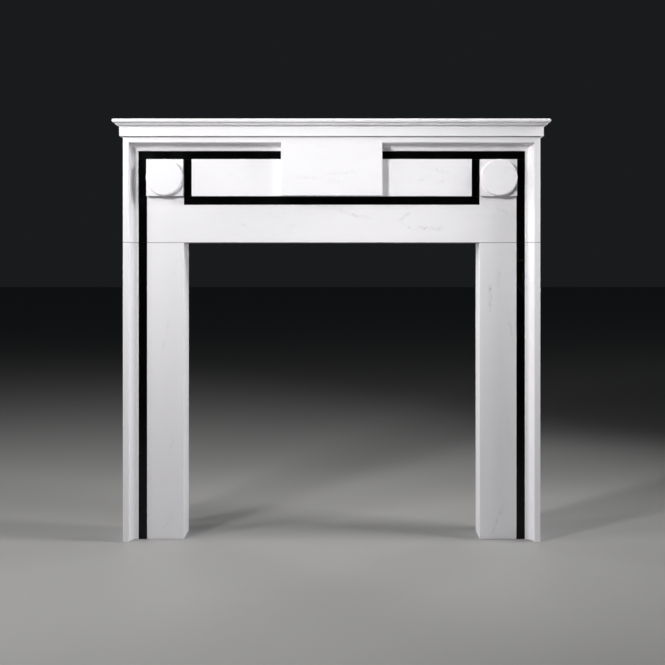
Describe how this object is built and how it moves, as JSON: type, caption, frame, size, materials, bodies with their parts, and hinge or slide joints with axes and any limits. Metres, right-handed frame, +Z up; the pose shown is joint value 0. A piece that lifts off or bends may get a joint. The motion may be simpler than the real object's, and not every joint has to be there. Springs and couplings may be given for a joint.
{
  "type": "fireplace mantel",
  "caption": "White marble chimneypiece with a moulded shelf, roundel corner blocks, a raised tablet and black marble inlay, hollowed at the back, to stand round a fire opening.",
  "frame": {"origin": "on the floor, midway across the width and the depth of the shelf", "axes": "+X to the right seen from the front, +Y back to the wall, +Z up"},
  "size_m": [1.331, 0.19, 1.2911],
  "materials": {
    "white_marble": "honed white marble with faint grey veins",
    "black_marble": "polished black marble"
  },
  "bodies": {
    "root": {"shelf": "white_marble", "frieze": "white_marble", "left_jamb": "white_marble", "right_jamb": "white_marble", "left_corner_block": "white_marble", "right_corner_block": "white_marble", "left_top_strip": "black_marble", "right_top_strip": "black_marble", "left_frieze_strip": "black_marble", "right_frieze_strip": "black_marble", "left_short_strip": "black_marble", "right_short_strip": "black_marble", "bottom_strip": "black_marble", "left_jamb_strip": "black_marble", "right_jamb_strip": "black_marble"}
  },
  "joints": []
}
